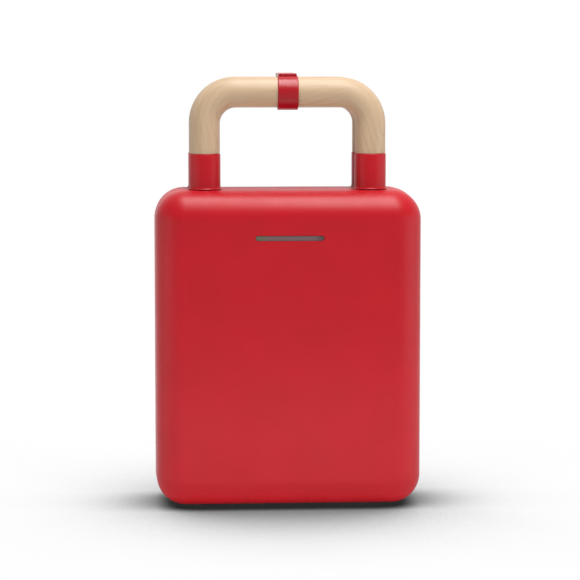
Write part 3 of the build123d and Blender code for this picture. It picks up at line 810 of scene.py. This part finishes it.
# %% Tone drift
tone_drift, given, gives = new_group(
    "tone_drift",
    [
        ("Place", "Vector", None),
        ("Scale", "Float", 20.0),
        ("Light tone", "Color", None),
        ("Deep tone", "Color", None),
    ],
    [("Colour", "Color")],
)
clouds = noise(tone_drift, given["Place"], given["Scale"], Detail=3.0, Roughness=0.55)
spread = remap(tone_drift, clouds, 0.35, 0.65)
tone = mix_colours(tone_drift, spread, given["Light tone"], given["Deep tone"])
tone_drift.links.new(tone, gives["Colour"])

# %% Moulded skin
moulded_skin, given, gives = new_group(
    "moulded_skin",
    [
        ("Place", "Vector", None),
        ("Scale", "Float", 900.0),
        ("Smooth", "Float", 0.3),
        ("Rough", "Float", 0.4),
    ],
    [("Roughness", "Float"), ("Height", "Float")],
)
cells = {"feature": "SMOOTH_F1"}
pebbles = add(moulded_skin, "TexVoronoi", cells, Vector=given["Place"], Scale=given["Scale"])
ripple = noise(moulded_skin, given["Place"], given["Scale"], Detail=2.0)
height = math_node(moulded_skin, "ADD", pebbles.outputs["Distance"], ripple)
smudge = noise(moulded_skin, given["Place"], 35.0, Detail=4.0, Roughness=0.6)
gloss = remap(moulded_skin, smudge, 0.35, 0.7, given["Smooth"], given["Rough"])
moulded_skin.links.new(gloss, gives["Roughness"])
moulded_skin.links.new(height, gives["Height"])

# %% Settled dust
dust_tone = (0.62, 0.58, 0.53, 1)
settled_dust, given, gives = new_group(
    "settled_dust",
    [("Place", "Vector", None), ("Colour", "Color", None), ("Amount", "Float", 0.1)],
    [("Colour", "Color")],
)
facing = add(settled_dust, "TexCoord").outputs["Normal"]
upward = add(settled_dust, "SeparateXYZ", Vector=facing).outputs["Z"]
lying = remap(settled_dust, upward, 0.5, 1.0)
specks = noise(settled_dust, given["Place"], 420.0, Detail=5.0, Roughness=0.7)
speckle = remap(settled_dust, specks, 0.52, 0.7)
cover = math_node(settled_dust, "MULTIPLY", lying, speckle)
amount = math_node(settled_dust, "MULTIPLY", cover, given["Amount"])
dusty = mix_colours(settled_dust, amount, given["Colour"], dust_tone)
settled_dust.links.new(dusty, gives["Colour"])
print("node groups:", sorted(group.name for group in bpy.data.node_groups))

# %% [markdown]
# ## Plastics, rubber and coatings
#
# Most finishes differ only in their two tones, how glossy they are, and how coarse their
# skin is. One recipe makes them all: object coordinates feed the tone drift and the skin,
# dust is laid over the colour, and the skin's height feeds a faint bump.

# %% The moulded recipe
paints = {}
dust_share = 0.06
drift_scale = 22.0


def new_paint(slot):
    """Material of a slot: its node tree, its shader and the piece's own coordinates."""
    paint = bpy.data.materials.new(slot)
    paint.use_nodes = True
    paints[slot] = paint
    tree = paint.node_tree
    place = add(tree, "TexCoord").outputs["Object"]
    return tree, tree.nodes["Principled BSDF"].inputs, place


def moulded(slot, light, deep, gloss, grain=900.0, relief=0.02, shine=0.5):
    """Finish with a light and a deep tone, a lowest and highest roughness, and a fine skin.

    Grain is how many cells of skin there are to a metre, relief their height in millimetres,
    and shine the strength of reflections seen face on.
    """
    tree, shader, place = new_paint(slot)
    tones = {"Light_tone": (*light, 1), "Deep_tone": (*deep, 1)}
    tone = place_group(tree, tone_drift, Place=place, Scale=drift_scale, **tones)
    dusty = place_group(tree, settled_dust, Place=place, Colour=tone["Colour"], Amount=dust_share)
    smooth, rough = gloss
    skin = place_group(tree, moulded_skin, Place=place, Scale=grain, Smooth=smooth, Rough=rough)
    bump = add(tree, "Bump", Height=skin["Height"], Strength=1.0, Distance=relief * MM)
    tree.links.new(dusty["Colour"], shader["Base Color"])
    tree.links.new(skin["Roughness"], shader["Roughness"])
    tree.links.new(bump.outputs[0], shader["Normal"])
    shader["Specular IOR Level"].default_value = shine


# %% The moulded finishes
shell_skin = {"grain": 1400.0, "relief": 0.010, "shine": 0.25}
latch_skin = {"grain": 1400.0, "relief": 0.008, "shine": 0.25}
frame_skin = {"grain": 1100.0, "relief": 0.03}
rubber_skin = {"grain": 1800.0, "relief": 0.03}
board_skin = {"grain": 2600.0, "relief": 0.01}
lens_gloss = (0.08, 0.14)
moulded("red_shell", (0.43, 0.003, 0.010), (0.40, 0.003, 0.009), (0.38, 0.45), **shell_skin)
moulded("latch_red", (0.33, 0.003, 0.009), (0.30, 0.003, 0.008), (0.24, 0.30), **latch_skin)
moulded("slide_plastic", (0.42, 0.010, 0.018), (0.38, 0.008, 0.016), (0.34, 0.44), relief=0.015)
moulded("black_plastic", (0.022, 0.022, 0.024), (0.016, 0.016, 0.018), (0.42, 0.55), **frame_skin)
moulded("nonstick", (0.034, 0.034, 0.037), (0.026, 0.026, 0.028), (0.36, 0.50), grain=2200.0)
moulded("rubber", (0.020, 0.020, 0.021), (0.030, 0.029, 0.029), (0.70, 0.85), **rubber_skin)
moulded("cream_plastic", (0.72, 0.68, 0.57), (0.66, 0.62, 0.51), (0.45, 0.55))
moulded("wire_sleeve", (0.78, 0.76, 0.70), (0.70, 0.68, 0.62), (0.55, 0.65), grain=1800.0)
moulded("lead_sleeve", (0.76, 0.74, 0.68), (0.68, 0.66, 0.60), (0.60, 0.70), grain=1800.0)
moulded("board", (0.05, 0.22, 0.09), (0.04, 0.18, 0.07), (0.30, 0.40), **board_skin)
moulded("green_lens", (0.10, 0.60, 0.20), (0.08, 0.52, 0.17), lens_gloss, relief=0.002)
moulded("red_lens", (0.70, 0.06, 0.05), (0.62, 0.05, 0.04), lens_gloss, relief=0.002)
print("moulded finishes:", len(paints))

# %% [markdown]
# ## Metals
#
# The element, the screws and the reflectors are bare metal. Drawn tube and rolled sheet show
# fine scratches in one direction, so the noise is squeezed hard across that direction.

# %% Brushed metal
scratch_relief = 0.004


def brushed(slot, light, deep, gloss, squeeze):
    """Metal whose roughness and relief come from noise that is stretched along one axis."""
    tree, shader, place = new_paint(slot)
    drawn = add(tree, "Mapping", Vector=place, Scale=squeeze).outputs[0]
    lines = noise(tree, drawn, 60.0, Detail=5.0, Roughness=0.65)
    tones = {"Light_tone": (*light, 1), "Deep_tone": (*deep, 1)}
    tone = place_group(tree, tone_drift, Place=drawn, Scale=8.0, **tones)
    rough = remap(tree, lines, 0.3, 0.7, *gloss)
    bump = add(tree, "Bump", Height=lines, Strength=1.0, Distance=scratch_relief * MM)
    tree.links.new(tone["Colour"], shader["Base Color"])
    tree.links.new(rough, shader["Roughness"])
    tree.links.new(bump.outputs[0], shader["Normal"])
    shader["Metallic"].default_value = 1.0


brushed("element_steel", (0.34, 0.32, 0.29), (0.26, 0.24, 0.22), (0.32, 0.46), (1, 20, 1))
brushed("bright_steel", (0.64, 0.64, 0.65), (0.56, 0.56, 0.57), (0.18, 0.30), (1, 12, 12))
brushed("reflector_sheet", (0.77, 0.77, 0.78), (0.70, 0.70, 0.71), (0.20, 0.32), (12, 1, 1))

# %% [markdown]
# ## Beech
#
# Pale beech has long straight fibres, slow bands of tone, and thousands of short dark flecks
# that lie along the fibres. All three are noise stretched along the straight rod, read from
# the attribute that the handles carry. Thin growth rings run across them in long arches, and
# a matt lacquer lies over all.

# %% Growth rings
ring_spacing = 0.005
ring_waver = 0.006
heart_place = (0.0, 0.034, 0.012)
heart_slant = (0, 0, math.radians(-14))


def growth_ring(tree, rod):
    """Mask of thin dark lines: a point's distance from the heart of the tree, in rings.

    The heart runs beside the rod at a slant, so its rings meet the rod's surface in long
    slanting arches. A slow noise makes them waver, and another lets them fade in and out.
    """
    beside = add(tree, "Mapping", Vector=rod, Location=heart_place, Rotation=heart_slant)
    flat = {"operation": "MULTIPLY"}
    across = add(tree, "VectorMath", flat, _0=beside.outputs[0], _1=(0, 1, 1)).outputs[0]
    heart_distance = add(tree, "VectorMath", {"operation": "LENGTH"}, _0=across).outputs["Value"]
    waver = noise(tree, rod, 30.0, Detail=2.0)
    moved = math_node(tree, "MULTIPLY_ADD", waver, ring_waver, heart_distance)
    part = math_node(tree, "FRACT", math_node(tree, "DIVIDE", moved, ring_spacing))
    soft = {"interpolation_type": "SMOOTHSTEP"}
    line = add(tree, "MapRange", soft, _0=part, _1=0.80, _2=0.97, _3=0.0, _4=0.5).outputs[0]
    strength = remap(tree, noise(tree, rod, 22.0, Detail=1.0), 0.42, 0.62)
    return math_node(tree, "MULTIPLY", line, strength)


# %% Wood
pale_wood = (0.53, 0.385, 0.25, 1)
deep_wood = (0.47, 0.335, 0.21, 1)
fibre_shade = (0.82, 0.76, 0.70)
fleck_tone = (0.36, 0.23, 0.14, 1)
ring_tone = (0.33, 0.22, 0.13, 1)
fibre_relief = 0.012


def along_rod(tree, rod, stretch):
    """The straight rod's coordinates with its length shortened, which draws a noise out."""
    return add(tree, "Mapping", Vector=rod, Scale=(stretch, 1.0, 1.0)).outputs[0]


def wood():
    """Beech: bands x fibres x flecks, each a noise on the straight rod's own coordinates."""
    tree, shader, _ = new_paint("wood")
    rod = add(tree, "Attribute", {"attribute_name": "straight_rod"}).outputs["Vector"]
    bands = noise(tree, along_rod(tree, rod, 0.09), 150.0, Detail=3.0, Distortion=0.6)
    fibres = noise(tree, along_rod(tree, rod, 0.03), 1400.0, Detail=4.0, Roughness=0.6)
    flecks = noise(tree, along_rod(tree, rod, 0.12), 2600.0, Detail=1.0)
    pale = mix_colours(tree, remap(tree, bands, 0.3, 0.7), pale_wood, deep_wood)
    fibre = remap(tree, fibres, 0.3, 0.7)
    shade = add(tree, "ValToRGB", Fac=fibre)
    fill_ramp(shade, [(0.0, fibre_shade), (1.0, (1, 1, 1))])
    streak = mix_colours(tree, 0.35, pale, shade.outputs[0], "MULTIPLY")
    fleck = remap(tree, flecks, 0.66, 0.74, 0.0, 0.35)
    specked = mix_colours(tree, fleck, streak, fleck_tone)
    ringed = mix_colours(tree, growth_ring(tree, rod), specked, ring_tone)
    rough = remap(tree, fibre, 0.0, 1.0, 0.50, 0.42)
    bump = add(tree, "Bump", Height=fibre, Strength=1.0, Distance=fibre_relief * MM)
    tree.links.new(ringed, shader["Base Color"])
    tree.links.new(rough, shader["Roughness"])
    tree.links.new(bump.outputs[0], shader["Normal"])
    shader["Specular IOR Level"].default_value = 0.35


wood()

# %% [markdown]
# ## Smoked window
#
# The strip is dark translucent plastic. Behind its left end sits the green lamp and behind
# the right end the red one, both off, so the left end is a touch greener. The right end is
# darker with painted shade, the shadow of the slot's recess. The tone runs along the strip
# with the object's X.

# %% Smoked plastic
green_end = [(0.0, (0.10, 0.10, 0.065)), (0.12, (0.11, 0.10, 0.072))]
smoked_middle = [(0.22, (0.14, 0.083, 0.088)), (0.86, (0.14, 0.083, 0.088))]
# painted shade: the right end is darkened to stand for the shadow of the slot's recess
painted_shade_end = [(0.95, (0.085, 0.050, 0.050)), (1.0, (0.075, 0.045, 0.045))]


def smoked():
    """Grey-mauve plastic whose tone is a ramp along X, darker at the right end with painted
    shade, with a faint skin.
    """
    tree, shader, place = new_paint("smoked_window")
    across = add(tree, "SeparateXYZ", Vector=place).outputs["X"]
    half = window_length / 2 * MM
    ramp = add(tree, "ValToRGB", Fac=remap(tree, across, -half, half))
    fill_ramp(ramp, green_end + smoked_middle + painted_shade_end)
    skin = place_group(tree, moulded_skin, Place=place, Scale=1600.0, Smooth=0.30, Rough=0.38)
    tree.links.new(ramp.outputs[0], shader["Base Color"])
    tree.links.new(skin["Roughness"], shader["Roughness"])
    shader["Specular IOR Level"].default_value = 0.25


smoked()

# %% [markdown]
# ## Painting
#
# The record gives every node a finish slot, and every new piece was given one when it was
# made. A material is named after its slot, so one look-up paints every piece, also the pieces
# inside that keep the CAD's mesh.

# %% Paint every piece from its slot
slot_of_node = {sub["node"]: sub["material_slot"] for sub in frame["record"]["subparts"]}
for name, node in frame["nodes"].items():
    node.data.materials.clear()
    node.data.materials.append(paints[slot_of_node[name]])
for piece in bpy.data.objects:
    if "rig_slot" in piece:
        piece.data.materials.clear()
        piece.data.materials.append(paints[piece["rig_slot"]])
print("painted", len(frame["nodes"]), "nodes with", len(paints), "finishes")

# %% [markdown]
# ## Camera
#
# The machine is seen from slightly above and a little from the left, with a long lens, so its
# sides stay almost parallel.

# %% Camera
lens_length = 151.7
sensor_width = 36.0
camera_place = (-0.1192, -2.0485, 0.387)
seen_point = (0.0030, 0.0, 0.1793)

camera_data = bpy.data.cameras.new("camera")
camera_data.lens = lens_length
camera_data.sensor_width = sensor_width
camera = bpy.data.objects.new("camera", camera_data)
scene.collection.objects.link(camera)
camera.location = camera_place
aside, ahead, fall = (seen_point[k] - camera_place[k] for k in range(3))
pitch = math.atan2(-fall, math.hypot(aside, ahead))
camera.rotation_euler = (math.pi / 2 - pitch, 0.0, -math.atan2(aside, ahead))
scene.camera = camera
print("camera looks down by", round(math.degrees(pitch), 2), "degrees")

# %% [markdown]
# ## Lamps and room
#
# A large soft box above and in front draws the bright band along the top edge. A weaker one
# on each side lights the round edges, and a narrow one low in front lights the bottom roll.
# The room itself gives little light, but the eye, mirrors and clear pieces see it as white.

# %% Lamps
def soft_box(name, size, place, aim, power):
    """Rectangular area light at a place in metres, turned to face a point."""
    data = bpy.data.lights.new(name, "AREA")
    data.shape = "RECTANGLE"
    data.size, data.size_y = size
    data.energy = power
    light = bpy.data.objects.new(name, data)
    scene.collection.objects.link(light)
    light.location = place
    toward = np.array(aim) - np.array(place)
    level = math.hypot(toward[0], toward[1])
    pitch = math.atan2(level, -toward[2])
    light.rotation_euler = (pitch, 0, math.atan2(-toward[0], toward[1]))
    print(f"{name}: {power} W, {round(float(np.linalg.norm(toward)), 2)} m from what it faces")


side_size = (1.2, 0.8)
side_aim = (0, 0, 0.05)
soft_box("top_light", (0.5, 1.2), (0.15, -0.33, 1.42), (0, 0, 0.15), 26.0)
soft_box("right_light", side_size, (1.3, -0.4, 0.12), side_aim, 3.7)
soft_box("left_light", side_size, (-1.3, -0.45, 0.12), side_aim, 3.2)
soft_box("low_light", (0.7, 0.10), (0.02, -0.26, 0.02), (0, 0, 0.03), 0.22)

# %% Room
room_strength = 0.10
white = (1, 1, 1, 1)


def seeing_ray(tree, path):
    """One where a ray comes from the camera, a mirror or a clear piece, and zero elsewhere."""
    seen = math_node(tree, "MAXIMUM", path["Is Camera Ray"], path["Is Glossy Ray"])
    return math_node(tree, "MAXIMUM", seen, path["Is Transmission Ray"])


def mix_shaders(tree, share, first, second):
    """Mix Shader node between two shader nodes. Share 0 gives the first."""
    return add(tree, "MixShader", _0=share, _1=first.outputs[0], _2=second.outputs[0])


def white_room():
    """World that is white to seeing rays and a weak even light to all others."""
    world = bpy.data.worlds.new("studio")
    scene.world = world
    world.use_nodes = True
    tree = world.node_tree
    tree.nodes.clear()
    path = add(tree, "LightPath").outputs
    seen = add(tree, "Background", Color=white, Strength=1.0)
    room = add(tree, "Background", Color=white, Strength=room_strength)
    whole = mix_shaders(tree, seeing_ray(tree, path), room, seen)
    add(tree, "OutputWorld", Surface=whole.outputs[0])


white_room()
print("strength of the room's even light:", room_strength)

# %% [markdown]
# ## Floor
#
# The floor is a clear sheet in front of the white room, tinted by the machine's own soft
# shadow. The shadow is how much of the space above a point of the floor the machine closes
# off. A ramp steepens it, so that it is nearly black where the machine stands.
#
# The machine stands on its hinge end, as in the photograph, so an open lid hangs below the
# floor's level. There the tint fades, and the lamps shine through.

# %% Shadow
shadow_reach = 0.9
below_reach = 0.2
shadow_ramp = [(0.26, 0.022), (0.41, 0.13), (0.52, 0.24), (0.60, 0.355)]
shadow_ramp += [(0.71, 0.55), (0.82, 0.84), (0.90, 1.0)]


def shadow_tint(tree):
    """Colour of the shadow: the ramp of the openness above, or white where a piece is below."""
    closing = {"samples": 16}
    openness = add(tree, "AmbientOcclusion", closing, Distance=shadow_reach).outputs["AO"]
    shade = add(tree, "ValToRGB", Fac=openness)
    fill_ramp(shade, [(position, (level, level, level)) for position, level in shadow_ramp])
    under = {"samples": 8, "inside": True}
    below = add(tree, "AmbientOcclusion", under, Distance=below_reach).outputs["AO"]
    return mix_colours(tree, remap(tree, below, 0.6, 0.98), white, shade.outputs[0])


# %% Floor
floor_size = 14.0
floor_bounce = 0.75
floor_glow = 0.4


def pale_floor():
    """Tinted clear sheet to seeing rays, and a matt floor with a faint glow to all others.

    The glow and what bounces off the floor light the machine from below. Shadow rays pass, so
    the lamps reach the open lid.
    """
    bpy.ops.mesh.primitive_plane_add(size=floor_size, location=(0, 0, 0))
    floor = bpy.context.object
    floor.name = "studio_floor"
    paint = bpy.data.materials.new("floor_paint")
    paint.use_nodes = True
    tree = paint.node_tree
    tree.nodes.clear()
    path = add(tree, "LightPath").outputs
    seen = add(tree, "BsdfTransparent", Color=shadow_tint(tree))
    matt = add(tree, "BsdfDiffuse", Color=(floor_bounce, floor_bounce, floor_bounce, 1))
    glow = add(tree, "Emission", Color=white, Strength=floor_glow)
    bounced = add(tree, "AddShader", _0=matt.outputs[0], _1=glow.outputs[0])
    looked = mix_shaders(tree, seeing_ray(tree, path), bounced, seen)
    clear = add(tree, "BsdfTransparent", Color=white)
    whole = mix_shaders(tree, path["Is Shadow Ray"], looked, clear)
    add(tree, "OutputMaterial", Surface=whole.outputs[0])
    floor.data.materials.append(paint)


pale_floor()
print("floor:", floor_size, "m across")
